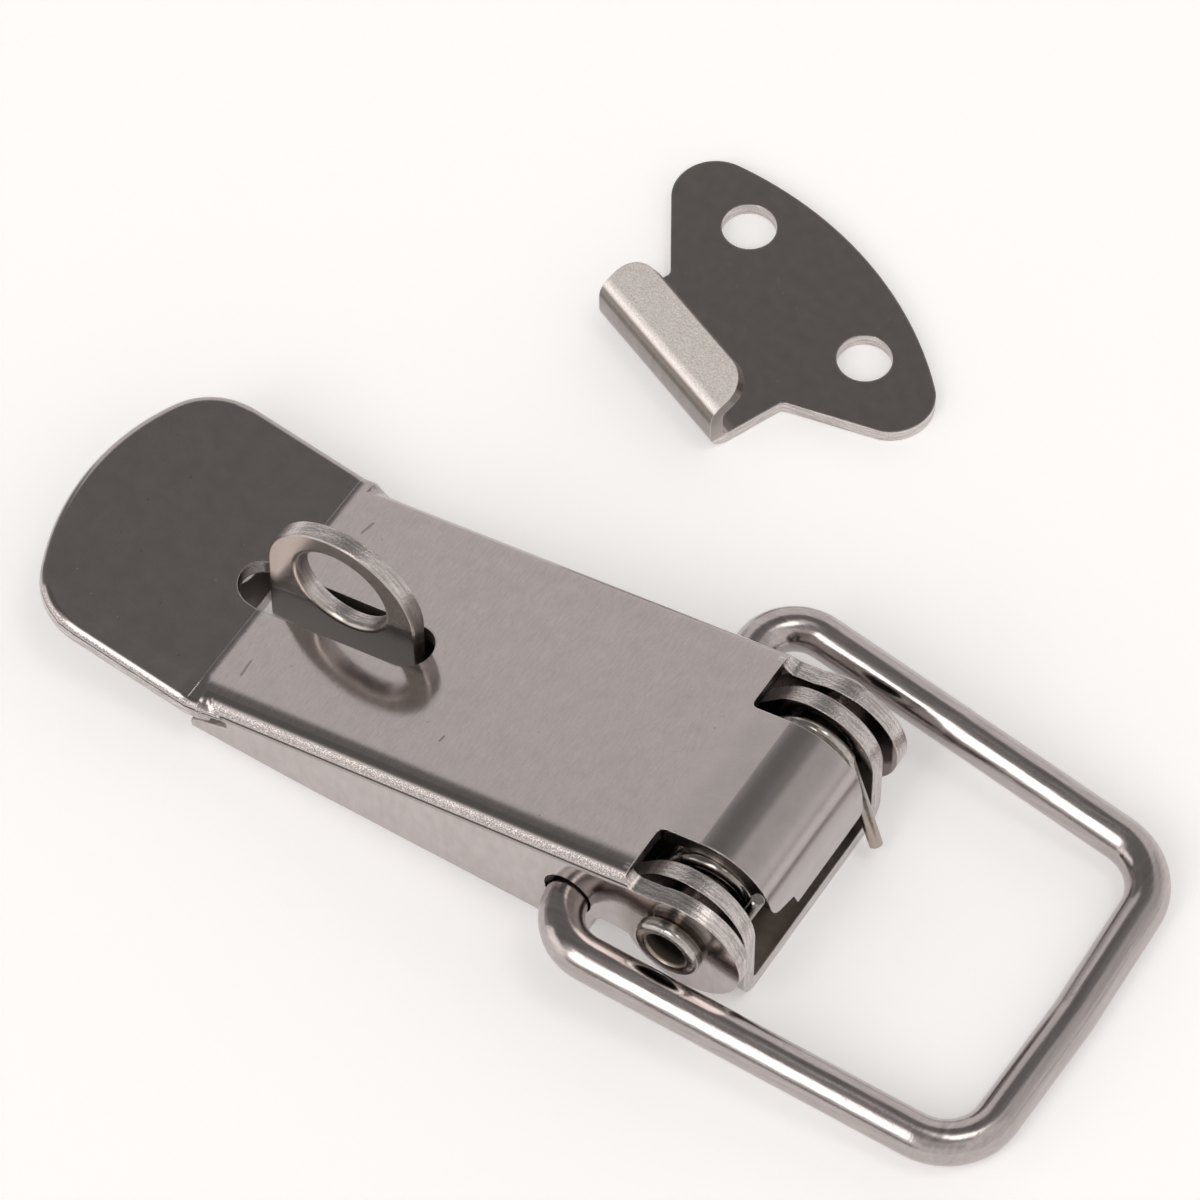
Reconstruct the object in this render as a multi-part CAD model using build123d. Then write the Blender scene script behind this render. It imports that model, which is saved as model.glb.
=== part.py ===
"""Over centre toggle latch with a padlock eye, and its keeper plate. Stainless steel, closed.

Millimetres. +X runs from the thumb tab towards the bail's crossbar, +Y to the far side, +Z up.
The origin is under the pivot rivet, on the base's mounting face and in the middle plane.
"""
import math
import os
from build123d import *

os.makedirs("parts", exist_ok=True)

# Stock
sheet = 1.2            # stainless strip of the base and the lever
keeper_sheet = 1.0
wire = 3.0             # round wire of the bail
spring_wire = 0.95
bend_inside = 0.4      # inside radius of the base's folds
fold_inside = 0.15     # the lever's folds are coined sharper
fold_outside = 1.1
eye_edge_round = 0.15  # near edge of the padlock eye's outline
eye_rim_round = 0.45   # rolled-over near rim of its bore

# Clearances
ear_gap = 0.65         # between a base ear and the lever flange outside it
turning_gap = 0.06     # rivet tube in the base's ears, on the radius
wire_gap = 0.25        # bail wire in the lever's holes, on the radius
coil_to_tube = 0.35    # spring coil around the rivet tube, on the radius
coil_to_roll = 0.13    # spring coil inside the rolled tongue, on the radius
coil_to_ear = 0.17     # last turn beside the base's ear
eye_side_gap = 1.15    # padlock eye to the long sides of the lever's slot
eye_end_gap = 1.1      # padlock eye to the pivot end of the slot

# Base plate
base_width = 16.7
pivot_height = 6.5
front_edge = 4.15      # front of the floor, ahead of the rivet's axis
ear_radius = 4.25
ear_drop = 0.4         # the rounded top's centre below the rivet's axis
wall_end = 12.2        # how far the low side walls run back from the rivet
wall_height = 3.1
floor_end = 24.3       # full-width floor, behind the rivet
tail_end = 45.5
tail_lobe_start = 38.3
tail_lobe_reach = 5.6  # how far the tail's end spreads to the near side
lobe_corner = 3.6
screw_hole = 3.9       # diameter
screw_pair_x = -17.6
screw_pair_spacing = 9.0
tail_screw_x = -41.9
tail_screw_y = 1.4

# Padlock eye, bent up out of the tail's strip
eye_centre_x = -31.5
eye_width = 11.35
eye_top = 13.4
eye_bore = 6.7
eye_bore_height = 8.35

# Lever
lever_slope = 11.4     # degrees, the top rises towards the pivot
lever_far_end = -52.0  # end of the thumb tab
tab_break_x = -37.2    # fold between the main top and the thumb tab
tab_rise = 9.1         # degrees, the tab lifts towards its end
tab_overhang = 0.45    # the tab is this much wider than the flanges, each side
tab_end_radius = 18.0
tab_corner_radius = 5.2
tab_roll = 0.6         # rolled rim of the tab
wing_end_x = -36.3     # where the flat, wider tab stops and the folds start
fold_run = 1.9         # from there to where the folds are fully turned down
fold_steps = 5
fold_lip = 0.15        # edge of the blank left below the fold where it is fully turned
blank_shift = -0.3     # slot and tongue lie off the middle plane, towards the near side
slit = 0.35            # shear cut between the tab and the nose of a flange
nose_height = 1.05     # flange nose under the tab
flange_start_x = -37.0
flange_bottom = 0.55
flange_foot_bottom = 1.15
flange_foot_x = -6.15
arch_top = 4.25
skirt_straight = 9.0   # the flange's lower edge runs level this far, then down to the foot
foot_reach = 2.8       # foot, ahead of the bail hole's centre
lever_ear_radius = 4.3
lever_ear_x = 0.55
lever_ear_drop = 0.45  # ear's centre below the rivet's axis
slot_front_gap = 2.4   # from the eye to the slot's thumb end
notch_back_x = -3.85
notch_depth = 1.0      # cut below the top, down the side of each fold
notch_round = 0.8
tongue_width = 10.8
tongue_root_round = 0.45
tongue_radius = 4.55   # outside of the roll round the rivet's axis
tongue_roll_end = 5.0  # degrees above the rivet's axis, the tip runs on straight from there
tongue_tip_height = 4.95
tongue_far_corner = 0.6
clip_width = 2.85      # the tip's near corner is clipped by the shears
clip_height = 1.15
clip_lean = 0.75
clip_corner = 1.3

# Bail
bail_hole_x = -7.8
bail_hole_height = 4.9
bail_reach = 30.55     # along X, from its holes to the crossbar's middle
bail_width_at_lever = 29.2
bail_width_at_crossbar = 25.3
bail_lever_bend = 3.2
bail_corner_bend = 4.1
bail_bow = 0.35        # the crossbar bulges this much in its middle
bail_offset = 1.05     # end play taken up towards the far side
bail_end_inside = 0.4  # wire end past the flange's inner face
bail_rest_x = 0.12     # the wire hangs this far off its hole's centre, towards the crossbar
bail_rest_z = 0.09     # and this far below it

# Rivet
rivet_tube_radius = 2.0
rivet_bore_radius = 1.45
rivet_head_radius = 2.35    # outside of the rolled lip
rivet_head_height = 1.1
rivet_neck_radius = 2.15    # under the lip, where it meets the ear
rivet_lip_round = 0.3

# Torsion spring
spring_leg_tip = (5.6, 5.45, 1.3)
spring_leg_leaves = 25.0    # degrees round the rivet's axis
spring_stub_leaves = -12.0
spring_stub_length = 3.4
spring_stub_lean = 17.0     # degrees from upright, towards the front
stub_to_tongue = 0.12
spring_knuckle = 0.04       # the wire swells this much where a leg leaves the coil

# Keeper
keeper_place = (-21.4, 40.9)
keeper_turn = -23.0
keeper_hole_spacing = 13.5
keeper_hole = 3.8
keeper_half_length = 13.25
keeper_crown = 4.95         # middle of the convex edge, beyond the holes
keeper_crown_radius = 27.5
keeper_lobe_radius = 3.1
keeper_shoulder = 6.7       # inner corner, behind the holes
keeper_neck_width = 13.1
keeper_hook_reach = 12.6    # front of the hook, behind the holes
hook_bend = 0.6             # inside radius of the hook's two bends
hook_front = 3.9            # height of the hook's upper bend, at its outer corner
hook_lip = 3.6              # from that corner to the lip's end
hook_lip_rise = 30.0        # degrees, the lip leans up and back over the plate
hook_lip_corner = 2.0

# What follows from the sizes above
lever_inside = base_width / 2 + ear_gap
lever_width = 2 * (lever_inside + sheet)
bend_outside = bend_inside + sheet
lever_half = lever_width / 2
tab_width = lever_width + 2 * tab_overhang
slope = math.radians(lever_slope)
rise = math.radians(tab_rise)
coil_radius = rivet_tube_radius + coil_to_tube + spring_wire / 2
coil_length = base_width - 2 * sheet - 2 * coil_to_ear - spring_wire
slot_width = sheet + 2 * eye_side_gap
deep = 4 * pivot_height
pivot = Vector(0, 0, pivot_height)


def top_height(x):
    """Height of the lever's outer top over x. The top is tangent to the tongue's roll."""
    return pivot_height + tongue_radius / math.cos(slope) + math.tan(slope) * x


def side_prism(face, y_low, y_high):
    """Extrude a side profile, drawn on the XZ plane, from y_low to y_high."""
    solid = extrude(face, y_high - y_low, dir=(0, 1, 0))
    return Pos(0, y_low, 0) * solid


def side_face(points):
    """A closed side profile from X, Z corners."""
    return make_face(Plane.XZ * Polyline([(x, z) for x, z in points], close=True))


def side_disc(x, z, radius):
    return Plane.XZ * Pos(x, z) * Circle(radius)


def cross_bore(x, z, radius, length):
    """A pin along Y, centred on the middle plane."""
    return Pos(x, 0, z) * Rot(90, 0, 0) * Cylinder(radius, length)


def round_corner(face, x, z, radius):
    """Round the corner of a side profile that lies nearest to x, z."""
    corner = min(face.vertices(), key=lambda v: math.hypot(v.X - x, v.Z - z))
    return fillet(corner, radius)


def rim_edges(solid, plane):
    """Edges of a flat sheet's upper outline that lie in a plane, on the positive side of its origin."""
    chosen = []
    for edge in solid.edges():
        places = [plane.to_local_coords(edge.position_at(part)) for part in (0, 0.5, 1)]
        if all(abs(place.Z) < 1e-4 for place in places) and places[1].X > 0:
            chosen.append(edge)
    return chosen


def make_base_plate():
    """One stamped strip: floor, two ears with low walls, and a tail with the padlock eye."""
    half = base_width / 2
    across = Plane(origin=(-wall_end, 0, 0), x_dir=(0, 1, 0), z_dir=(1, 0, 0))
    outside = Pos(0, pivot_height) * Rectangle(base_width, 2 * pivot_height)
    outside += Pos(0, pivot_height * 1.5) * Rectangle(base_width, pivot_height * 2)
    low = outside.vertices().sort_by(Axis.Y)[:2]
    outside = fillet(low, bend_outside)
    inside = Pos(0, sheet + pivot_height * 2) * Rectangle(base_width - 2 * sheet, pivot_height * 4)
    low = inside.vertices().sort_by(Axis.Y)[:2]
    inside = fillet(low, bend_inside)
    channel = extrude(across * (outside - inside), wall_end + front_edge)

    ear_x = front_edge - ear_radius
    ear_z = pivot_height - ear_drop
    back_angle = math.radians(138)
    back = (ear_x + ear_radius * math.cos(back_angle), ear_z + ear_radius * math.sin(back_angle))
    side = side_face([
        (front_edge, 0),
        (front_edge, ear_z),
        (ear_x, ear_z),
        back,
        (back[0] - (back[1] - wall_height) * math.tan(math.radians(42)), wall_height),
        (-wall_end, wall_height),
        (-wall_end, 0),
    ])
    side = round_corner(side, -wall_end, wall_height, 1.4)
    side += side_disc(ear_x, ear_z, ear_radius)
    base = channel & side_prism(side, -half, half)

    floor = Pos(-(wall_end + floor_end) / 2, 0, sheet / 2) * Box(floor_end - wall_end, base_width, sheet)
    relief = Box(sheet, 2 * bend_outside, 3 * sheet)
    floor -= Pos(-wall_end - sheet / 2, half, 0) * relief
    floor -= Pos(-wall_end - sheet / 2, -half, 0) * relief

    strip_edge = sheet / 2 + bend_inside
    strip = Pos(-(floor_end + tail_end) / 2, (half + strip_edge) / 2, sheet / 2)
    strip *= Box(tail_end - floor_end, half - strip_edge, sheet)
    lobe_long = tail_end - tail_lobe_start
    lobe = Pos(-tail_end + lobe_long / 2, (half - tail_lobe_reach) / 2, sheet / 2)
    lobe *= Box(lobe_long, half + tail_lobe_reach, sheet)
    tail = strip + lobe
    ends = tail.edges().filter_by(Axis.Z).sort_by(Axis.X)[:2]
    tail = fillet(ends, lobe_corner)

    eye = make_padlock_eye()
    base = base + floor + tail + eye
    base -= cross_bore(0, pivot_height, rivet_tube_radius + turning_gap, 2 * base_width)
    for y in (-screw_pair_spacing / 2, screw_pair_spacing / 2):
        base -= Pos(screw_pair_x, y, 0) * Cylinder(screw_hole / 2, 4 * sheet)
    base -= Pos(tail_screw_x, tail_screw_y, 0) * Cylinder(screw_hole / 2, 4 * sheet)
    return base


def make_padlock_eye():
    """The eye stands along X. A fold joins its foot to the strip beside it."""
    radius = eye_width / 2
    fold = Plane(origin=(eye_centre_x - radius, 0, 0), x_dir=(0, 1, 0), z_dir=(1, 0, 0))
    height = eye_top
    reach = sheet / 2 + bend_inside
    ell = make_face(Polyline(
        (-sheet / 2, 0), (2 * reach, 0), (2 * reach, sheet), (sheet / 2, sheet),
        (sheet / 2, height), (-sheet / 2, height), close=True))
    outer = min(ell.vertices(), key=lambda v: math.hypot(v.X + sheet / 2, v.Y))
    ell = fillet(outer, bend_outside - 0.05)
    inner = min(ell.vertices(), key=lambda v: math.hypot(v.X - sheet / 2, v.Y - sheet))
    ell = fillet(inner, bend_inside)
    plate = extrude(fold * ell, eye_width)
    arch_z = eye_top - radius
    outline = Plane.XZ * Pos(eye_centre_x, arch_z / 2) * Rectangle(eye_width, arch_z)
    outline += side_disc(eye_centre_x, arch_z, radius)
    plate &= side_prism(outline, -base_width, base_width)
    plate -= cross_bore(eye_centre_x, eye_bore_height, eye_bore / 2, base_width)
    near_edges = [edge for edge in plate.edges()
                  if edge.center().Y < -sheet / 2 + 1e-3 and edge.position_at(0.5).Z > bend_outside]
    rim = [edge for edge in near_edges
           if edge.geom_type == GeomType.CIRCLE and abs(edge.radius - eye_bore / 2) < 1e-3]
    outline_edge = [edge for edge in near_edges if edge not in rim]
    plate = fillet(outline_edge, eye_edge_round)
    rim = [edge for edge in plate.edges()
           if edge.geom_type == GeomType.CIRCLE and abs(edge.radius - eye_bore / 2) < 1e-3
           and edge.center().Y < 0]
    return fillet(rim, eye_rim_round)


def make_lever():
    """One stamped strip: thumb tab, sloped top, two flanges with ears, and the rolled tongue."""
    outside = Pos(0, -deep / 2) * Rectangle(lever_width, deep)
    outside = fillet(outside.vertices().sort_by(Axis.Y)[-2:], fold_outside)
    inside = Pos(0, -sheet - deep / 2) * Rectangle(2 * lever_inside, deep)
    inside = fillet(inside.vertices().sort_by(Axis.Y)[-2:], fold_inside)
    top_length = (notch_back_x - wing_end_x) / math.cos(slope)
    channel = extrude(top_section(fold_run) * (outside - inside), top_length + notch_round - fold_run)
    channel &= side_prism(lever_side_profile(-sheet), -lever_width, lever_width)
    channel -= Pos(notch_back_x + deep, 0, 0) * Box(2 * deep, 2 * lever_inside, 2 * deep)

    flanges = side_prism(lever_side_profile(fold_outside), -lever_half, lever_half)
    flanges -= Box(-4 * flange_start_x, 2 * lever_inside, 2 * deep)
    lever = channel + flanges + make_fold_start()

    lever += make_wing() + make_tab() + make_tongue()
    lever -= make_slot()
    lever -= cross_bore(0, pivot_height, rivet_tube_radius, 2 * lever_width)
    hole_x = bail_hole_x - bail_rest_x
    hole_z = bail_hole_height + bail_rest_z
    lever -= cross_bore(hole_x, hole_z, wire / 2 + wire_gap, 2 * lever_width)
    return lever


def top_section(distance):
    """Plane across the sloped top, at a distance along it from where the folds start."""
    along = Vector(math.cos(slope), 0, math.sin(slope))
    start = Vector(wing_end_x, 0, top_height(wing_end_x)) + along * distance
    return Plane(origin=start, x_dir=(0, 1, 0), z_dir=along)


def fold_end(depth):
    """X and Z of the end of the turning down, at a depth square to the top."""
    point = top_section(fold_run).origin
    return point.X + depth * math.sin(slope), point.Z - depth * math.cos(slope)


def fold_section(part):
    """Half section of the top where its edge is turned down by a part of the full 90 degrees."""
    turned = part * math.pi / 2
    across = Vector(math.cos(turned), -math.sin(turned))
    outward = Vector(math.sin(turned), math.cos(turned))
    root = Vector(lever_inside - fold_inside, 0)
    foot = root - Vector(0, sheet)
    bend_from = Vector(lever_half - fold_outside, 0)
    split = max(turned, math.pi / (2 * fold_steps))

    def bent(start, radius, share):
        """Point on a bend that leaves start, a share of the way round it."""
        if part == 0:
            return start + Vector(radius * split * share, 0)
        angle = turned * share
        return start + Vector(radius * math.sin(angle), radius * (math.cos(angle) - 1))

    flat_edge = tab_width / 2 - bend_from.X
    blank = flat_edge + part * (fold_outside * math.pi / 2 + fold_lip - flat_edge)
    edge = bent(bend_from, fold_outside, 1) + across * (blank - fold_outside * split)
    inner_bend = bent(foot, fold_inside, 1)
    thickness = (edge - inner_bend).dot(outward)
    corner = tab_roll + part * (fold_lip / 3 - tab_roll)
    roll_start = edge - across * corner
    roll_end = edge - outward * corner
    turn = math.sqrt(0.5)
    roll_middle = roll_start + across * (corner * turn) - outward * (corner * (1 - turn))
    under = edge - outward * thickness

    def bend(start, radius):
        if part == 0:
            return Line(start, bent(start, radius, 1))
        return ThreePointArc(start, bent(start, radius, 0.5), bent(start, radius, 1))

    return make_face([
        Line(root, bend_from),
        bend(bend_from, fold_outside),
        Line(bent(bend_from, fold_outside, 1), roll_start),
        ThreePointArc(roll_start, roll_middle, roll_end),
        Line(roll_end, under),
        Line(under, inner_bend),
        bend(foot, fold_inside),
        Line(foot, root),
    ])


def make_fold_start():
    """Where each fold begins, the flat edge of the top turns down gradually into the flange."""
    sections = []
    for step in range(fold_steps + 1):
        part = step / fold_steps
        sections.append(top_section(fold_run * part) * fold_section(part))
    side = loft(sections, ruled=True)
    width = 2 * (lever_inside - fold_inside)
    middle = extrude(top_section(0) * Pos(0, -sheet / 2) * Rectangle(width, sheet), fold_run)
    return middle + side + mirror(side, Plane.XZ)


def lever_side_profile(depth):
    """Side outline of the flanges: straight skirt, foot round the bail hole, arch and ear.

    Behind the notches it ends at a depth below the lever's top, or above it where negative.
    """
    ear_z = pivot_height - lever_ear_drop
    arch_x = lever_ear_x - math.sqrt(lever_ear_radius ** 2 - (ear_z - arch_top) ** 2)
    nose_top = flange_bottom + nose_height
    shelf = top_height(notch_back_x) - notch_depth
    slit_end = fold_outside + fold_lip + 1.5 * slit
    profile = side_face([
        (flange_start_x, flange_bottom),
        (flange_start_x + skirt_straight, flange_bottom),
        (bail_hole_x - foot_reach, flange_foot_bottom),
        (flange_foot_x, flange_foot_bottom),
        (flange_foot_x, arch_top),
        (arch_x + 0.3, arch_top),
        (lever_ear_x, ear_z),
        (lever_ear_x, top_height(lever_ear_x) - notch_depth),
        (notch_back_x, shelf),
        (notch_back_x, top_height(notch_back_x) - depth),
        fold_end(depth),
        fold_end(slit_end),
        (wing_end_x, nose_top),
        (flange_start_x, nose_top - slit),
    ])
    profile = round_corner(profile, flange_foot_x, flange_foot_bottom, 1.5)
    profile = round_corner(profile, flange_foot_x, arch_top, 1.3)
    if depth < 0:
        profile = round_corner(profile, notch_back_x, shelf, notch_round)
    return profile + side_disc(lever_ear_x, ear_z, lever_ear_radius)


def beside_break(side):
    """Everything on one side of the fold between tab and top, up to the plane that halves it."""
    lean = (rise - slope) / 2
    up = (tab_break_x + deep * math.sin(lean), top_height(tab_break_x) + deep * math.cos(lean))
    down = (2 * tab_break_x - up[0], 2 * top_height(tab_break_x) - up[1])
    outline = side_face([down, up, (up[0] + side * deep, up[1]), (down[0] + side * deep, down[1])])
    return side_prism(outline, -tab_width, tab_width)


def make_wing():
    """Flat stretch of the top between the tab's fold and the start of the side folds."""
    start = tab_break_x - sheet
    under_x = sheet * math.sin(slope)
    under_z = sheet * math.cos(slope)
    wing = side_prism(side_face([
        (start, top_height(start)),
        (wing_end_x, top_height(wing_end_x)),
        (wing_end_x + under_x, top_height(wing_end_x) - under_z),
        (start + under_x, top_height(start) - under_z),
    ]), -tab_width / 2, tab_width / 2)
    middle_x = (start + wing_end_x) / 2
    rims = [edge for edge in wing.edges()
            if abs(edge.center().X - middle_x) < 0.01 and abs(edge.center().Z - top_height(middle_x)) < 0.01]
    return fillet(rims, tab_roll) & beside_break(1)


def make_tab():
    """Rounded thumb tab, lifted at its end, with a rolled rim."""
    away = (-math.cos(rise), 0, math.sin(rise))
    up = (math.sin(rise), 0, math.cos(rise))
    plane = Plane(origin=(tab_break_x, 0, top_height(tab_break_x)), x_dir=away, z_dir=up)
    length = (tab_break_x - lever_far_end) / math.cos(rise)
    half = tab_width / 2
    centre = length - tab_end_radius
    corner_y = half - tab_corner_radius
    corner_x = centre + math.sqrt((tab_end_radius - tab_corner_radius) ** 2 - corner_y ** 2)
    lean = math.atan2(corner_y, corner_x - centre)
    touch = (centre + tab_end_radius * math.cos(lean), tab_end_radius * math.sin(lean))
    turn = (lean + math.pi / 2) / 2
    middle = (corner_x + tab_corner_radius * math.cos(turn), corner_y + tab_corner_radius * math.sin(turn))
    rim = [
        Line((-sheet, half), (corner_x, half)),
        ThreePointArc((corner_x, half), middle, touch),
        ThreePointArc(touch, (length, 0), (touch[0], -touch[1])),
        ThreePointArc((touch[0], -touch[1]), (middle[0], -middle[1]), (corner_x, -half)),
        Line((corner_x, -half), (-sheet, -half)),
        Line((-sheet, -half), (-sheet, half)),
    ]
    tab = extrude(plane * make_face(rim), -sheet)
    return fillet(rim_edges(tab, plane), tab_roll) & beside_break(-1)


def make_tongue():
    """The middle of the top runs on past the notches and rolls down round the rivet's axis."""
    foot = math.radians(90 + lever_slope)
    end = math.radians(tongue_roll_end)
    inner = tongue_radius - sheet
    drop = (pivot_height + tongue_radius * math.sin(end) - tongue_tip_height) / math.cos(end) + sheet

    def on_roll(radius, angle):
        return (radius * math.cos(angle), pivot_height + radius * math.sin(angle))

    def below(radius):
        x, z = on_roll(radius, end)
        return (x + drop * math.sin(end), z - drop * math.cos(end))

    root_x = notch_back_x - 2 * tongue_root_round
    under = (root_x + sheet * math.sin(slope), top_height(root_x) - sheet * math.cos(slope))
    middle = (foot + end) / 2
    outline = [
        Line((root_x, top_height(root_x)), on_roll(tongue_radius, foot)),
        ThreePointArc(*[on_roll(tongue_radius, angle) for angle in (foot, middle, end)]),
        Line(on_roll(tongue_radius, end), below(tongue_radius)),
        Line(below(tongue_radius), below(inner)),
        Line(below(inner), on_roll(inner, end)),
        ThreePointArc(*[on_roll(inner, angle) for angle in (end, middle, foot)]),
        Line(on_roll(inner, foot), under),
        Line(under, (root_x, top_height(root_x))),
    ]
    half = tongue_width / 2
    profile = make_face([Plane.XZ * piece for piece in outline])
    roll = side_prism(profile, blank_shift - half, blank_shift + half)
    roll &= tongue_front_outline()
    return roll + make_tongue_roots()


def make_tongue_roots():
    """Small rounds in the inner corners of the two notches."""
    gusset = Rectangle(2 * tongue_root_round, tongue_width + 2 * tongue_root_round)
    gusset = Pos(notch_back_x, blank_shift) * gusset
    for side in (-1, 1):
        y = blank_shift + side * (tongue_width / 2 + tongue_root_round)
        gusset -= Pos(notch_back_x + tongue_root_round, y) * Circle(tongue_root_round)
    block = extrude(Pos(0, 0, pivot_height) * gusset, 2 * tongue_radius)
    band = side_face([
        (notch_back_x - sheet, top_height(notch_back_x - sheet)),
        (0, top_height(0)),
        (sheet * math.sin(slope), top_height(0) - sheet * math.cos(slope)),
        (notch_back_x - sheet, top_height(notch_back_x - sheet) - sheet / math.cos(slope)),
    ])
    return block & side_prism(band, -lever_inside, lever_inside)


def tongue_front_outline():
    """The tongue seen from the front: straight sides, the near corner clipped, the far one round."""
    near = blank_shift - tongue_width / 2
    far = blank_shift + tongue_width / 2
    tip = tongue_tip_height
    keep = make_face(Polyline(
        (near, 4 * tongue_radius), (far, 4 * tongue_radius), (far, tip),
        (near + clip_width, tip), (near + clip_width - clip_height / 3, tip + clip_height),
        (near, tip + clip_height + clip_lean), close=True))
    rounds = [
        ((far, tip), tongue_far_corner),
        ((near, tip + clip_height + clip_lean), clip_corner),
        ((near + clip_width - clip_height / 3, tip + clip_height), clip_height / 4),
    ]
    for (y, z), radius in rounds:
        corner = min(keep.vertices(), key=lambda v: math.hypot(v.X - y, v.Y - z))
        keep = fillet(corner, radius)
    front = Plane(origin=(notch_back_x - sheet, 0, 0), x_dir=(0, 1, 0), z_dir=(1, 0, 0))
    return extrude(front * keep, 3 * tongue_radius)


def make_slot():
    """Round-ended slot in the top, which the padlock eye comes up through."""
    front = eye_centre_x - eye_width / 2 - slot_front_gap
    back = eye_centre_x + eye_width / 2 + eye_end_gap
    slot = SlotOverall(back - front, slot_width)
    return Pos((front + back) / 2, blank_shift, 0) * extrude(slot, 3 * pivot_height)


def make_rivet():
    """Hollow rivet: a tube through the four ears, its ends rolled outwards."""
    crest = lever_half + rivet_head_height
    half = make_face(Polyline(
        (rivet_bore_radius, 0),
        (rivet_tube_radius, 0),
        (rivet_tube_radius, lever_half),
        (rivet_neck_radius, lever_half),
        (rivet_head_radius, lever_half + rivet_lip_round),
        (rivet_head_radius, crest),
        (rivet_bore_radius, crest), close=True))
    for radius in (rivet_head_radius, rivet_bore_radius):
        corner = min(half.vertices(), key=lambda v: math.hypot(v.X - radius, v.Y - crest))
        half = fillet(corner, rivet_lip_round)
    end = revolve(half, Axis.Y)
    rivet = end + mirror(end, Plane.XZ)
    return Pos(pivot) * rivet


def make_bail():
    """Bent wire loop. Its ends turn inwards through the lever's holes; the crossbar lies low."""
    drop = bail_hole_height - wire / 2
    length = math.hypot(bail_reach, drop)
    plane = Plane(origin=(bail_hole_x, bail_offset, bail_hole_height),
                  x_dir=(bail_reach, 0, -drop), z_dir=(drop, 0, bail_reach))
    end_y = lever_inside - bail_end_inside
    near = bail_width_at_lever / 2
    far = bail_width_at_crossbar / 2
    left = FilletPolyline((0, -end_y - bail_offset), (0, -near), (length / 2, -(near + far) / 2),
                          radius=bail_lever_bend)
    right = FilletPolyline((length / 2, (near + far) / 2), (0, near), (0, end_y - bail_offset),
                           radius=bail_lever_bend)
    corner = bail_corner_bend
    nose = FilletPolyline((length / 2, -(near + far) / 2), (length - bail_bow, -far),
                          (length, 0), (length - bail_bow, far),
                          (length / 2, (near + far) / 2), radius=corner)
    path = plane * Wire(left.edges() + nose.edges() + right.edges())
    start = Plane(origin=path @ 0, z_dir=path % 0)
    bail = sweep(start * Circle(wire / 2), path=path)
    ends = [edge for edge in bail.edges() if edge.geom_type == GeomType.CIRCLE
            and abs(edge.radius - wire / 2) < 1e-3
            and abs(abs(edge.center().Y) - end_y) < 1e-3]
    return chamfer(ends, wire / 12)


def make_torsion_spring():
    """A long coil round the rivet tube. One leg pokes out in front, the other end is short."""
    start_angle = math.radians(spring_stub_leaves)
    turns = round(coil_length / spring_wire - 0.6)
    sweep_angle = 360 * turns + (spring_stub_leaves - spring_leg_leaves)
    pitch = coil_length / (sweep_angle / 360)
    helix = Helix(pitch, coil_length, coil_radius, center=(0, 0, 0), direction=(0, 0, 1))
    coil = sweep(Plane(origin=helix @ 0, z_dir=helix % 0) * Circle(spring_wire / 2), path=helix)
    lay = Plane(origin=(0, -coil_length / 2, pivot_height),
                x_dir=(math.cos(start_angle), 0, math.sin(start_angle)), z_dir=(0, 1, 0))
    coil = lay * coil

    def on_coil(angle, y):
        a = math.radians(angle)
        return Vector(coil_radius * math.cos(a), y, pivot_height + coil_radius * math.sin(a))

    far_start = on_coil(spring_leg_leaves, coil_length / 2)
    leg = straight_wire(far_start, Vector(*spring_leg_tip))
    near_start = on_coil(spring_stub_leaves, -coil_length / 2)
    lean = math.radians(spring_stub_lean)
    stub_tip = near_start + Vector(math.sin(lean), 0, math.cos(lean)) * spring_stub_length
    stub_tip.Y = blank_shift - tongue_width / 2 - stub_to_tongue - spring_wire / 2
    stub = straight_wire(near_start, stub_tip)
    return leg + coil + stub


def straight_wire(start, end):
    """A straight piece of spring wire with a round knuckle at its start."""
    run = end - start
    body = Cylinder(spring_wire / 2, run.length, align=(Align.CENTER, Align.CENTER, Align.MIN))
    body = chamfer(body.edges().sort_by(Axis.Z)[-1], spring_wire / 12)
    placed = Plane(origin=start, z_dir=run) * body
    return placed + Pos(start) * Sphere(spring_wire / 2 + spring_knuckle)


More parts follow.
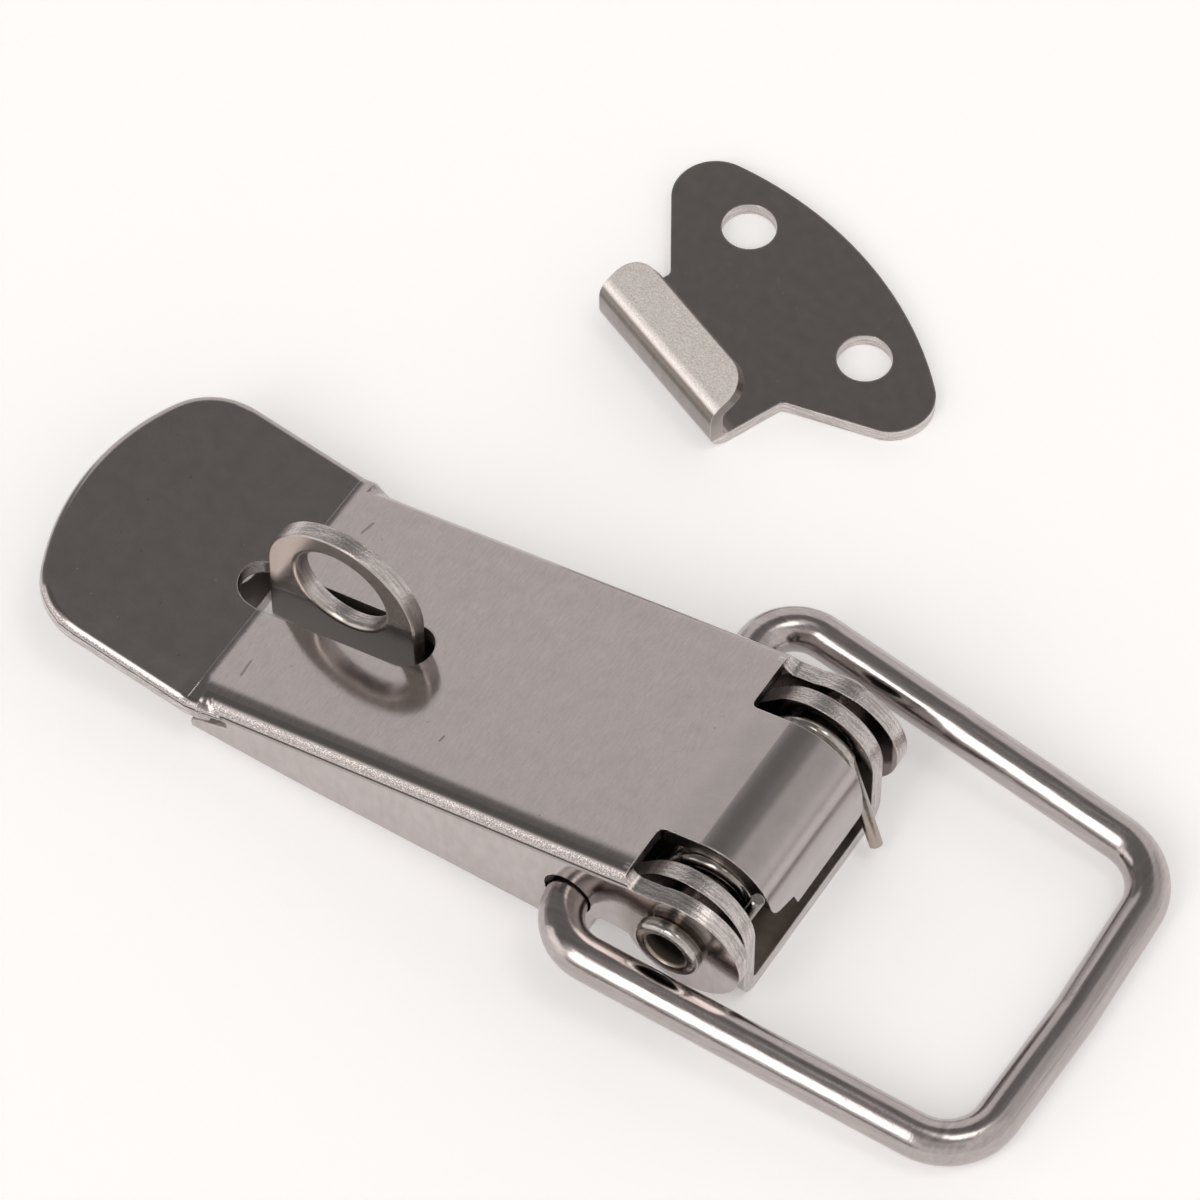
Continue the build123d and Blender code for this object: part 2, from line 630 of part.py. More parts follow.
def make_keeper():
    """Flat half-moon plate with two screw holes, a neck, and a hook bent up at its front."""
    half_neck = keeper_neck_width / 2
    crown_centre = Vector(0, keeper_crown - keeper_crown_radius)
    lobe_x = keeper_half_length - keeper_lobe_radius
    lobe_y = crown_centre.Y + math.sqrt((keeper_crown_radius - keeper_lobe_radius) ** 2 - lobe_x ** 2)
    lobe = Vector(lobe_x, lobe_y)
    on_crown = lobe + (lobe - crown_centre).normalized() * keeper_lobe_radius
    shoulder = Vector(half_neck, -keeper_shoulder)
    to_lobe = lobe - shoulder
    lean = math.atan2(to_lobe.Y, to_lobe.X) - math.asin(keeper_lobe_radius / to_lobe.length)
    side_long = math.sqrt(to_lobe.length ** 2 - keeper_lobe_radius ** 2)
    on_side = shoulder + Vector(math.cos(lean), math.sin(lean)) * side_long
    right = [shoulder, on_side, lobe, on_crown, Vector(on_crown.X, keeper_crown)]
    left = [Vector(-point.X, point.Y) for point in reversed(right)]
    plate = make_face(Polyline(*right, *left, close=True))
    plate &= Pos(*crown_centre) * Circle(keeper_crown_radius)
    for side in (-1, 1):
        plate += Pos(side * lobe_x, lobe_y) * Circle(keeper_lobe_radius)
    neck_start = -keeper_hook_reach + 2 * (keeper_sheet + hook_bend)
    neck_long = keeper_shoulder / 2 - keeper_shoulder - neck_start
    neck = Pos(0, neck_start + neck_long / 2) * Rectangle(keeper_neck_width, neck_long)
    blank = extrude(plate + neck, keeper_sheet)
    inner = [edge for edge in blank.edges().filter_by(Axis.Z)
             if abs(abs(edge.center().X) - half_neck) < 0.01
             and abs(edge.center().Y + keeper_shoulder) < 0.01]
    blank = fillet(inner, keeper_sheet / 2)
    for x in (-keeper_hole_spacing / 2, keeper_hole_spacing / 2):
        blank -= Pos(x, 0, 0) * Cylinder(keeper_hole / 2, 4 * keeper_sheet)
    keeper = blank + make_keeper_hook(neck_start)
    return Pos(*keeper_place, 0) * Rot(0, 0, keeper_turn) * keeper


def make_keeper_hook(neck_start):
    """The neck turns up at the hook's front and leans back over the plate as a lip."""
    front = -keeper_hook_reach
    rise = math.radians(hook_lip_rise)
    lip = Vector(math.cos(rise), math.sin(rise)) * hook_lip
    under = Vector(math.sin(rise), -math.cos(rise)) * keeper_sheet
    inner_top = hook_front + keeper_sheet * (math.tan(rise) - 1 / math.cos(rise))
    profile = make_face(Polyline(
        (neck_start, 0), (front, 0), (front, hook_front),
        (front + lip.X, hook_front + lip.Y), (front + lip.X + under.X, hook_front + lip.Y + under.Y),
        (front + keeper_sheet, inner_top), (front + keeper_sheet, keeper_sheet),
        (neck_start, keeper_sheet), close=True))
    bends = [
        ((front, 0), hook_bend + keeper_sheet),
        ((front, hook_front), hook_bend + keeper_sheet),
        ((front + keeper_sheet, keeper_sheet), hook_bend),
        ((front + keeper_sheet, inner_top), hook_bend),
    ]
    for (y, z), radius in bends:
        corner = min(profile.vertices(), key=lambda v: math.hypot(v.X - y, v.Y - z))
        profile = fillet(corner, radius)
    side = Plane(origin=(-keeper_neck_width / 2, 0, 0), x_dir=(0, 1, 0), z_dir=(1, 0, 0))
    hook = extrude(side * profile, keeper_neck_width)
    tip = [edge for edge in hook.edges()
           if edge.geom_type == GeomType.LINE and edge.length < keeper_sheet * 1.01
           and edge.center().Z > hook_front
           and abs(abs(edge.center().X) - keeper_neck_width / 2) < 1e-3]
    return fillet(tip, hook_lip_corner)


export_step(make_base_plate(), "parts/base_plate.step")
export_step(make_lever(), "parts/lever.step")
export_step(make_rivet(), "parts/rivet.step")
export_step(make_bail(), "parts/bail.step")
export_step(make_torsion_spring(), "parts/torsion_spring.step")
export_step(make_keeper(), "parts/keeper.step")
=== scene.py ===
import math

import bpy
from mathutils import Matrix, Vector


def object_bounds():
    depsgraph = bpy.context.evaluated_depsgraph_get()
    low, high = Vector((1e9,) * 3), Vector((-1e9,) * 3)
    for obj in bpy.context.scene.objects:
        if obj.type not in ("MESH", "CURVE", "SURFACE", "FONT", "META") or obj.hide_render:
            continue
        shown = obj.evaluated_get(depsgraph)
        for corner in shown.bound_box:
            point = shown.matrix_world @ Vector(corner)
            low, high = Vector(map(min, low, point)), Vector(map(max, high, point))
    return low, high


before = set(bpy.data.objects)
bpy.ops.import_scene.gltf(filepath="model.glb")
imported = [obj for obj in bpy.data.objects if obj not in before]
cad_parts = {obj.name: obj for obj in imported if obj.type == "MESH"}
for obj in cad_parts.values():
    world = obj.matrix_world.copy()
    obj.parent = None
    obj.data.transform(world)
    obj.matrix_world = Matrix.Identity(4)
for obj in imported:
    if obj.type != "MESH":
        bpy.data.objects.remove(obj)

cad_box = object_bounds()
MM = 0.001

# ---------------------------------------------------------------- view
# Product view from above and in front: the camera is turned round the latch, then tipped down.
VIEW_TURN = math.radians(32.516)
VIEW_TIP = math.radians(56.0)
VIEW_DISTANCE = 435.76 * MM
VIEW_ASIDE = -10.095 * MM
VIEW_RAISED = 17.780 * MM
LENS_MM = 203.44
SENSOR_MM = 36.0
NEAREST_M = 0.01
FARTHEST_M = 20.0

# ---------------------------------------------------------------- light
# Brightness of the tent's wall, then its panels, where a later one covers those before it.
# Each row: brightness, bearing, reach to each side, low end, high end, softness of the sides and of
# the ends. All but the first are degrees: bearings turn from +X towards +Y, 90 in height is overhead,
# and a high end past 90 covers the top of the tent. The camera stands at bearing 302, 56 degrees up,
# so bearing 32 is on its right, 212 on its left and 122 straight ahead, beyond the latch.
WALL_LEVEL = 0.86
ROOM_TINT = (1.0, 0.968, 0.945, 1.0)
ROOM_PANELS = [
    (0.34, 300, 62, 54, 126, 8, 5),       # dim roof, on the camera's side
    (0.62, 300, 34, 28, 58, 6, 6),        # shaded top of the wall under it
    (0.60, 52, 24, 18, 58, 6, 6),         # grey wall, far right
    (0.24, 78, 22, 52, 73, 6, 4),         # dark edge of the roof over that wall
    (1.45, 222, 20, 2, 33, 5, 4),         # bright wall, left
    (0.32, 262, 17, -4, 12, 5, 3),        # dark gap over the table's front edge
    (0.62, 30, 9, -12, 8, 6, 6),          # fainter gap at the right
    (0.36, 176, 25, -15, 14, 3, 3),       # dark wall behind the thumb tab, low down
    (0.22, 178, 27, 14, 48, 3, 3),        # and above that
    (0.22, 216, 16, 37, 60, 5, 4),        # its drop over the bright wall
    (0.205, 162, 72, 46, 134, 3, 2.5),    # dark roof beyond the latch, seen in the level faces
    (4.0, 260, 13, 25, 63, 3, 5),         # tall lamp, front left
    (3.4, 18, 28, 65, 77, 4, 3),          # lamp high on the right
]
TABLE_REACH_M = 3.0
TABLE_GAP = 0.02 * MM
TABLE_WHITE = (0.98, 0.977, 0.975, 1.0)
TABLE_GLOW = (1.0, 0.99, 0.985, 1.0)
TABLE_GLOW_LEVEL = 0.24

# ---------------------------------------------------------------- places on the latch, in mm
TAB_BEND_X = -37.2      # fold between thumb tab and main top
EYE_X = -31.5           # middle of the padlock eye
SLOT_BOX = (7.3, 3.3)   # half the length and width of a box round its slot
EYE_REFLECTION_LINE = (16.5, 0.322)    # on the eye's near face, the painted dark reflection of the slot ends where z is 16.5 + 0.322 x
NOTCH_X = -3.85         # back wall of the two notches beside the tongue
NOTCH_Y = 6.5           # inside the notches, clear of the tongue and of the flanges
RIVET_Z = 6.5           # height of the rivet's axis
TUBE_RADIUS = 2.0
BORE_RADIUS = 1.45
LIP_Y = 10.9            # in the rivet's rolled lips, which end at 11.3
FLANGE_Y = 9.0          # inner face of the lever's flanges
FOLD_Y = 8.0            # the lever's top starts to fall away to the folds
FOLD_EASE = 1.1         # width over which it does
EAR_Y = 7.1             # just short of the inner face of the base's ears
FLOOR_Z = 1.2           # top of the base's floor
PLATE_Z = 1.0           # top of the keeper's plate
CROSSBAR_X = 22.75      # middle of the bail's crossbar
LEG_TIP = (5.6, 1.3)    # x and z of the spring's front leg at its tip
TOOL_MARKS = [          # on the lever's top: each mark's start and end, and half its width
    ((-35.0, -7.3), (-35.1, -5.7), 0.11),
    ((-34.6, 6.2), (-34.3, 7.5), 0.11),
    ((-20.3, -6.1), (-20.2, -5.5), 0.08),
]

# ---------------------------------------------------------------- colours
PLAIN_STEEL = (0.46, 0.42, 0.411, 1.0)
KEEPER_STEEL = (0.40, 0.357, 0.343, 1.0)
SPRING_STEEL = (0.45, 0.425, 0.40, 1.0)
RIVET_STEEL = (0.47, 0.445, 0.425, 1.0)
SHEARED_STEEL = (0.60, 0.555, 0.54, 1.0)
# pale: a painted highlight on the keeper's stretched lip
STRETCHED_HIGHLIGHT_STEEL = (0.92, 0.855, 0.82, 1.0)
# edges: lightened as wear and as a painted highlight
WORN_EDGE_HIGHLIGHT = (0.82, 0.765, 0.745, 1.0)
EYE_SHEEN = (0.48, 0.435, 0.40, 1.0)
BORE_SHEEN = (0.46, 0.385, 0.33, 1.0)
WARM_TIP = (0.42, 0.34, 0.28, 1.0)
# painted dark reflection on the shoulder of the lever's near fold
FOLD_DARK_REFLECTION = (0.27, 0.245, 0.225, 1.0)
# brown: real stains on the bail; painted shade and painted dark reflections on the lever, the base and the
# keeper
BROWN_FILM_AND_SHADE = (0.25, 0.215, 0.185, 1.0)
# dark: painted shade on the base's tail floor, in the rivet's neck and on the spring's near turns; also a
# thin line where the lever's fold meets its flange
DARK_TINT = (0.16, 0.14, 0.125, 1.0)
# painted dark reflection on the eye's near face; then painted shade on the lever's slot walls and deep in the
# rivet's bore
SLOT_REFLECTION_DARK = (0.09, 0.079, 0.07, 1.0)
SLOT_DARK = (0.06, 0.052, 0.046, 1.0)
BORE_DARK = (0.05, 0.042, 0.036, 1.0)

# ---------------------------------------------------------------- shader expressions
# The Mix node's sockets go by number, since each kind of value has its own pair.
MIX_FACTOR = 0
MIX_FLOATS = (2, 3)
MIX_COLOURS = (6, 7)
MIX_COLOUR_OUT = 2
MICROMETRE = 1e-6


class Signal:
    """A socket in a shader expression. Arithmetic on it adds Math nodes."""

    def __init__(self, tree, socket):
        self.tree = tree
        self.socket = socket

    def math(self, operation, *values):
        """One Math node, with its operation and up to three values."""
        return add(self.tree, "ShaderNodeMath", {"operation": operation}, dict(enumerate(values)))

    def __add__(self, other):
        return self.math("ADD", self, other)

    def __radd__(self, other):
        return self.math("ADD", other, self)

    def __sub__(self, other):
        return self.math("SUBTRACT", self, other)

    def __rsub__(self, other):
        return self.math("SUBTRACT", other, self)

    def __mul__(self, other):
        return self.math("MULTIPLY", self, other)

    def __rmul__(self, other):
        return self.math("MULTIPLY", other, self)

    def __truediv__(self, other):
        return self.math("DIVIDE", self, other)

    def __pow__(self, other):
        return self.math("POWER", self, other)

    def size(self):
        return self.math("ABSOLUTE", self)

    def least(self, other):
        return self.math("MINIMUM", self, other)

    def most(self, other):
        return self.math("MAXIMUM", self, other)

    def rise(self, low, high):
        """0 at low and 1 at high, smooth between them. With low above high it falls instead."""
        start, end = (0.0, 1.0) if low < high else (1.0, 0.0)
        return add(self.tree, "ShaderNodeMapRange", {"interpolation_type": "SMOOTHSTEP"}, {
            "Value": self, "From Min": min(low, high), "From Max": max(low, high),
            "To Min": start, "To Max": end})

    def near(self, centre, inner, outer):
        """1 within inner of centre, falling to 0 at outer."""
        return (self - centre).size().rise(outer, inner)


def add(tree, kind, settings=None, sockets=None, out=0):
    """Add a node: its settings first, then the values or links of its sockets."""
    node = tree.nodes.new(kind)
    for name, value in (settings or {}).items():
        setattr(node, name, value)
    for key, value in (sockets or {}).items():
        if isinstance(value, Signal):
            tree.links.new(value.socket, node.inputs[key])
        else:
            node.inputs[key].default_value = value
    return Signal(tree, node.outputs[out]) if node.outputs else None


def new_material(name):
    material = bpy.data.materials.new(name)
    material.use_nodes = True
    material.node_tree.nodes.clear()
    return material, material.node_tree


# ---------------------------------------------------------------- studio
def make_camera():
    across = Vector((math.cos(VIEW_TURN), math.sin(VIEW_TURN), 0))
    ahead = Vector((-math.sin(VIEW_TURN), math.cos(VIEW_TURN), 0))
    looks = math.cos(VIEW_TIP) * ahead - math.sin(VIEW_TIP) * Vector((0, 0, 1))
    upward = math.sin(VIEW_TIP) * ahead + math.cos(VIEW_TIP) * Vector((0, 0, 1))
    data = bpy.data.cameras.new("camera")
    data.lens = LENS_MM
    data.sensor_width = SENSOR_MM
    data.clip_start = NEAREST_M
    data.clip_end = FARTHEST_M
    camera = bpy.data.objects.new("camera", data)
    place = VIEW_ASIDE * across + VIEW_RAISED * upward - VIEW_DISTANCE * looks
    turned = Matrix((across, upward, -looks)).transposed().to_4x4()
    camera.matrix_world = Matrix.Translation(place) @ turned
    bpy.context.scene.collection.objects.link(camera)
    bpy.context.scene.camera = camera


def make_room():
    """A light tent, given by compass bearing from +X and height above the horizon, in degrees."""
    world = bpy.data.worlds.new("room")
    bpy.context.scene.world = world
    world.use_nodes = True
    tree = world.node_tree
    tree.nodes.clear()
    direction = add(tree, "ShaderNodeTexCoord", out="Generated")
    east, north, upward = (add(tree, "ShaderNodeSeparateXYZ", {}, {0: direction}, out=axis) for axis in "XYZ")
    height = upward.math("ARCSINE", upward) * math.degrees(1)
    compass = north.math("ARCTAN2", north, east) * math.degrees(1)

    def panel(bearing, reach, low, high, soft_side, soft_end):
        """Soft-edged panel: reach degrees each side of its bearing, between two heights."""
        off = compass.math("WRAP", compass - bearing, 180.0, -180.0).size()
        middle = (low + high) / 2
        off_height = (height - middle).size()
        half = high - middle
        inside_sides = off.rise(reach + soft_side, reach - soft_side)
        return inside_sides * off_height.rise(half + soft_end, half - soft_end)

    light = WALL_LEVEL
    below, above = MIX_FLOATS
    for level, *place in ROOM_PANELS:
        light = add(tree, "ShaderNodeMix", {"data_type": "FLOAT"},
                    {MIX_FACTOR: panel(*place), below: light, above: level})
    shine = add(tree, "ShaderNodeBackground", {}, {"Color": ROOM_TINT, "Strength": light})
    add(tree, "ShaderNodeOutputWorld", {}, {"Surface": shine})


def make_floor():
    material, tree = new_material("pale_table")
    shade = add(tree, "ShaderNodeBsdfPrincipled", {}, {
        "Base Color": TABLE_WHITE, "Roughness": 0.9, "Specular IOR Level": 0.0,
        "Emission Color": TABLE_GLOW, "Emission Strength": TABLE_GLOW_LEVEL})
    add(tree, "ShaderNodeOutputMaterial", {}, {"Surface": shade})
    mesh = bpy.data.meshes.new("table")
    reach = TABLE_REACH_M
    level = cad_box[0].z - TABLE_GAP
    corners = [(-reach, -reach, level), (reach, -reach, level), (reach, reach, level), (-reach, reach, level)]
    mesh.from_pydata(corners, [], [(0, 1, 2, 3)])
    table = bpy.data.objects.new("table", mesh)
    table.data.materials.append(material)
    bpy.context.scene.collection.objects.link(table)


# ---------------------------------------------------------------- steel finishes
class Surface:
    """One steel material in the making.

    x, y and z are places in millimetres, in the part's own frame. face_x, face_y and face_z say how
    squarely the surface faces along an axis, from -1 to 1. A mask is a product of their rises.
    """

    def __init__(self, name, colour, roughness):
        self.material, self.tree = new_material(name)
        self.place = self.add("ShaderNodeVectorMath", {"operation": "SCALE"},
                              {0: self.add("ShaderNodeTexCoord", out="Object"), "Scale": 1.0 / MM})
        facing = self.add("ShaderNodeTexCoord", out="Normal")
        self.x, self.y, self.z = (self.part(self.place, axis) for axis in "XYZ")
        self.face_x, self.face_y, self.face_z = (self.part(facing, axis) for axis in "XYZ")
        self.colour = colour
        self.roughness = roughness
        self.relief = 0.0

    def add(self, kind, settings=None, sockets=None, out=0):
        return add(self.tree, kind, settings, sockets, out)

    def part(self, vector, axis):
        return self.add("ShaderNodeSeparateXYZ", {}, {0: vector}, out=axis)

    def grain(self, scale, detail=2.0, stretch=(1, 1, 1), swirl=0.0):
        """Noise from about -0.5 to 0.5; a small stretch along an axis draws it out that way."""
        spot = self.place
        if stretch != (1, 1, 1):
            spot = self.add("ShaderNodeVectorMath", {"operation": "MULTIPLY"}, {0: spot, 1: stretch})
        return self.add("ShaderNodeTexNoise", {}, {
            "Vector": spot, "Scale": scale, "Detail": detail, "Distortion": swirl}) - 0.5

    def pits(self, scale, size, share, stretch=(1, 1, 1)):
        """Scattered spots: of all the cells, this share holds a spot of this size (0 to 1)."""
        spot = self.add("ShaderNodeVectorMath", {"operation": "MULTIPLY"}, {0: self.place, 1: stretch})
        cells = {"Vector": spot, "Scale": scale}
        lot = self.part(self.add("ShaderNodeTexVoronoi", {}, cells, out="Color"), "X")
        from_centre = self.add("ShaderNodeTexVoronoi", {}, cells, out="Distance")
        return from_centre.rise(size, size * 0.4) * lot.rise(share + 0.01, share)

    def scratch(self, start, end, half_width):
        """A straight mark from start to end, seen from above."""
        run = math.dist(start, end)
        ux, uy = (end[0] - start[0]) / run, (end[1] - start[1]) / run
        along = (self.x - start[0]) * ux + (self.y - start[1]) * uy
        aside = (self.x - start[0]) * -uy + (self.y - start[1]) * ux
        middle = run / 2
        return aside.near(0.0, half_width * 0.2, half_width) * along.near(middle, run * 0.35, run * 0.55)

    def tint(self, amount, colour):
        below, above = MIX_COLOURS
        self.colour = self.add("ShaderNodeMix", {"data_type": "RGBA"},
                               {MIX_FACTOR: amount, below: self.colour, above: colour}, out=MIX_COLOUR_OUT)

    def shade(self, amount):
        """Lighten (above 0) or darken (below 0) the colour by a share."""
        rgb = self.colour if isinstance(self.colour, Signal) else self.colour[:3]
        self.colour = self.add("ShaderNodeVectorMath", {"operation": "SCALE"},
                               {0: rgb, "Scale": 1.0 + amount})

    def roughen(self, amount):
        self.roughness = self.roughness + amount

    def dull(self, amount, roughness):
        """Take the surface this far towards one roughness."""
        self.roughness = self.roughness + amount * (roughness - self.roughness)

    def emboss(self, height):
        """Height in micrometres."""
        self.relief = self.relief + height

    def steel(self, edge_radius, wear_and_highlight):
        """Closes the material. The outer edges are rounded off, and lightened both as wear and as a painted
        highlight.
        """
        rounded = self.add("ShaderNodeBevel", {"samples": 2}, {"Radius": edge_radius * MM})
        flat = self.add("ShaderNodeNewGeometry", out="Normal")
        level = self.add("ShaderNodeVectorMath", {"operation": "DOT_PRODUCT"},
                         {0: rounded, 1: flat}, out="Value")
        # edges lightened: wear, and a painted highlight
        self.tint(level.rise(0.985, 0.90) * wear_and_highlight, WORN_EDGE_HIGHLIGHT)
        bump = self.add("ShaderNodeBump", {}, {
            "Height": self.relief * MICROMETRE, "Strength": 1.0, "Distance": 1.0, "Normal": rounded})
        metal = self.add("ShaderNodeBsdfPrincipled", {}, {
            "Base Color": self.colour, "Metallic": 1.0, "Roughness": self.roughness, "Normal": bump})
        self.add("ShaderNodeOutputMaterial", {}, {"Surface": metal})
        return self.material


def sheared(surface, mask, streaks):
    """Edges left by the shears and punches: pale, with fine lines; streaks is how they are drawn out."""
    torn = surface.grain(7.0, 3.0)
    drawn = surface.grain(1.2, 4.0, streaks)
    surface.tint(mask, SHEARED_STEEL)
    surface.shade(mask * (torn * 0.7 + drawn * 1.3 - 0.06))
    surface.dull(mask, 0.26)
    surface.emboss(mask * (torn * 20.0 + drawn * 14.0))


def lever_finish():
    s = Surface("lever_steel", PLAIN_STEEL, 0.115)
    top = s.face_z.rise(0.75, 0.92)
    side = s.y.size().rise(FLANGE_Y - 0.3, FLANGE_Y + 0.2)
    flange = s.face_y.size().rise(0.97, 0.999) * side
    mottle = s.grain(0.8, 4.0)
    lever_top(s, top, mottle)
    lever_folds(s, side, flange)
    # the roll of the tongue, dulled where it was drawn round the die
    roll = s.x.rise(NOTCH_X - 0.65, NOTCH_X + 1.35) * s.y.size().rise(NOTCH_Y + 0.4, NOTCH_Y)
    s.dull(roll, 0.19)
    lever_cut_edges(s)
    # painted dark reflection, brown and mottled, on the ear round the rivet
    from_rivet = (s.x ** 2.0 + (s.z - RIVET_Z) ** 2.0) ** 0.5
    painted_ear_reflection = flange * from_rivet.rise(4.6, 3.0) * (s.z - s.x).rise(3.5, 5.5)
    s.tint(painted_ear_reflection * (0.55 + mottle), BROWN_FILM_AND_SHADE)
    lever_tool_marks(s, top)
    return s.steel(edge_radius=0.14, wear_and_highlight=0.85)


def lever_top(s, top, mottle):
    """Fine strokes across the main top, specks on all of it and the soft bend up to the thumb tab."""
    main_top = top * s.x.rise(TAB_BEND_X - 0.2, TAB_BEND_X + 0.3) * s.x.rise(NOTCH_X + 0.85, NOTCH_X - 1.65)
    tab = s.x.rise(TAB_BEND_X + 0.2, TAB_BEND_X - 0.4)
    strokes = s.grain(3.0, 4.0, (2.4, 0.42, 1.0), 0.9)
    specks = s.pits(1.6, 0.14, 0.10, (1.0, 0.6, 1.0))
    s.shade(mottle * 0.2 + main_top * (strokes * 0.28 - 0.05)
            + top * (s.grain(6.0, 2.0) * 0.10 - specks * 0.22)
            + tab * s.pits(1.7, 0.09, 0.12) * 0.8)
    s.roughen(mottle * 0.04 + main_top * strokes * 0.06)
    s.emboss(main_top * strokes * 1.7 + s.grain(5.0))
    bend = 1 - (s.x - TAB_BEND_X).size() / 0.75
    s.emboss(top * bend.most(0.0) ** 2.0 * 58.0)


def lever_folds(s, side, flange):
    """Folds down both sides: the outside of the bend stretches to a coarse grain, and the near crest is
    lightened as a painted highlight; a painted dark reflection lies on the shoulder above it.
    """
    turning = s.face_z.rise(0.2, 0.4)
    near_fold = s.y.rise(-(FLANGE_Y - 0.3), -(FLANGE_Y + 0.2)) * turning
    # the near fold's start is eased: first a parabola, then straight on at the slope that it reached
    sunk = (-FOLD_Y - s.y).most(0.0)
    eased = sunk.least(FOLD_EASE) ** 2.0 + 2.0 * FOLD_EASE * (sunk - FOLD_EASE).most(0.0)
    s.emboss(eased * turning * -62.0)
    # painted dark reflection on the near fold's shoulder
    s.tint(s.face_y.near(-0.30, 0.16, 0.36) * near_fold * 0.5, FOLD_DARK_REFLECTION)
    # the near crest: a coarse grain, lightened as a painted highlight
    crest = s.face_y.near(-0.72, 0.12, 0.28) * near_fold
    peel = s.grain(14.0, 3.0, (0.6, 1.0, 1.0))
    s.emboss(crest * peel * 10.0)
    s.shade(crest * (peel.rise(-0.1, 0.2) * 0.95 - 0.2))
    s.dull(crest, 0.26)
    root = s.face_y.size().rise(0.88, 0.96) * s.face_y.size().rise(0.9999, 0.992) * side
    s.tint(root * s.face_z.rise(0.0, 0.1) * 0.3, DARK_TINT)
    s.shade(flange * (s.grain(1.5, 3.0, (1.0, 1.0, 0.4)) * 0.30 + 0.1))
    s.emboss(flange * s.grain(3.5, 3.0) * 5.0)


def lever_cut_edges(s):
    """Shear marks on the tab's rim, the slot, the notches, the flanges' lower edges and the ears."""
    upright = s.face_z.size().rise(0.5, 0.35)
    along_flange = s.y.size().rise(FLANGE_Y - 0.1, FLANGE_Y)
    ahead_of_notch = s.x.rise(NOTCH_X - 0.55, NOTCH_X - 0.35)
    slot_length, slot_width = SLOT_BOX
    in_slot = (s.x.near(EYE_X, slot_length - 0.1, slot_length + 0.1)
               * s.y.size().rise(slot_width + 0.1, slot_width - 0.1))
    at_tongue = ahead_of_notch * s.y.size().rise(NOTCH_Y + 0.1, NOTCH_Y - 0.1)
    tab_rim = upright * s.x.rise(TAB_BEND_X + 0.7, TAB_BEND_X + 0.3)
    slot_wall = upright * in_slot
    notch_wall = upright * s.face_y.size().rise(0.8, 0.6) * s.x.near(NOTCH_X - 0.05, 0.6, 0.8)
    tongue_side = at_tongue * s.face_y.size().rise(0.85, 0.95)
    lower_edge = s.face_z.rise(-0.5, -0.7) * along_flange
    ear_edge = s.face_y.size().rise(0.35, 0.2) * along_flange * ahead_of_notch
    sheared(s, tab_rim.most(slot_wall).most(notch_wall).most(tongue_side), (0.5, 0.5, 4.0))
    sheared(s, lower_edge.most(ear_edge), (0.5, 5.0, 0.5))
    # painted shade: the tongue's sides and the slot's walls are darkened brown, and the slot's walls that
    # face +y near black
    s.tint(tongue_side * 0.5, BROWN_FILM_AND_SHADE)
    s.tint(slot_wall * 0.9, BROWN_FILM_AND_SHADE)
    s.tint(slot_wall * s.face_y.rise(0.2, 0.6) * 0.9, SLOT_DARK)
    s.dull(slot_wall, 0.5)


def lever_tool_marks(s, top):
    """Short marks that the press left on the top."""
    marks = 0.0
    for mark in TOOL_MARKS:
        marks = s.scratch(*mark).most(marks)
    s.shade(marks * top * -0.38)
    s.emboss(marks * top * -5.0)


def base_finish():
    s = Surface("base_steel", PLAIN_STEEL, 0.17)
    mottle = s.grain(1.1, 4.0)
    s.shade(mottle * 0.2 - s.pits(1.3, 0.14, 0.15) * 0.25)
    s.roughen(mottle * 0.08)
    s.emboss(s.grain(4.0, 3.0) * 3.0)
    # padlock eye: a warm face with a fine grain
    eye = s.x.near(EYE_X, 6.2, 6.6) * s.z.rise(FLOOR_Z + 0.15, FLOOR_Z + 0.5)
    s.tint(eye * 0.8, EYE_SHEEN)
    s.dull(eye, 0.25 + s.grain(2.0) * 0.1)
    s.emboss(eye * s.grain(6.0, 3.0) * 5.0)
    # painted shade: under the lever's slope, the eye's near face gets a painted dark reflection of the slot,
    # and the tail's floor a painted shadow
    on_floor = s.z.rise(FLOOR_Z + 0.7, FLOOR_Z + 0.3) * s.face_z.rise(0.5, 0.8)
    line, slope = EYE_REFLECTION_LINE
    below_slot = eye * s.face_y.rise(-0.8, -0.95) * (s.z - slope * s.x).rise(line + 0.1, line - 0.1)
    s.tint(below_slot * 0.65, SLOT_REFLECTION_DARK)
    tail_floor = on_floor * s.x.near(EYE_X - 1.5, 8.0, 9.0)
    s.tint(tail_floor * 0.75, DARK_TINT)
    s.dull(tail_floor, 0.35)
    # painted shade, brown and mottled, on the floor under and ahead of the rolled tongue
    front_floor = on_floor * s.x.rise(-7.0, -5.0)
    s.tint(front_floor * (0.75 + mottle), BROWN_FILM_AND_SHADE)
    s.dull(front_floor, 0.32)
    # cut edges of the ears, the eye and the foot
    in_ear = (s.y.size().rise(EAR_Y - 0.1, EAR_Y) * s.x.rise(-6.2, -6.0)
              * s.z.rise(FLOOR_Z + 0.1, FLOOR_Z + 0.4))
    ear_edge = in_ear * s.face_y.size().rise(0.35, 0.2)
    eye_edge = eye * s.face_y.size().rise(0.5, 0.3)
    foot_edge = s.z.rise(FLOOR_Z + 0.05, FLOOR_Z - 0.05) * s.face_z.size().rise(0.4, 0.3)
    sheared(s, ear_edge.most(eye_edge), (0.5, 5.0, 0.5))
    sheared(s, foot_edge, (0.5, 0.5, 5.0))
    return s.steel(edge_radius=0.12, wear_and_highlight=0.8)


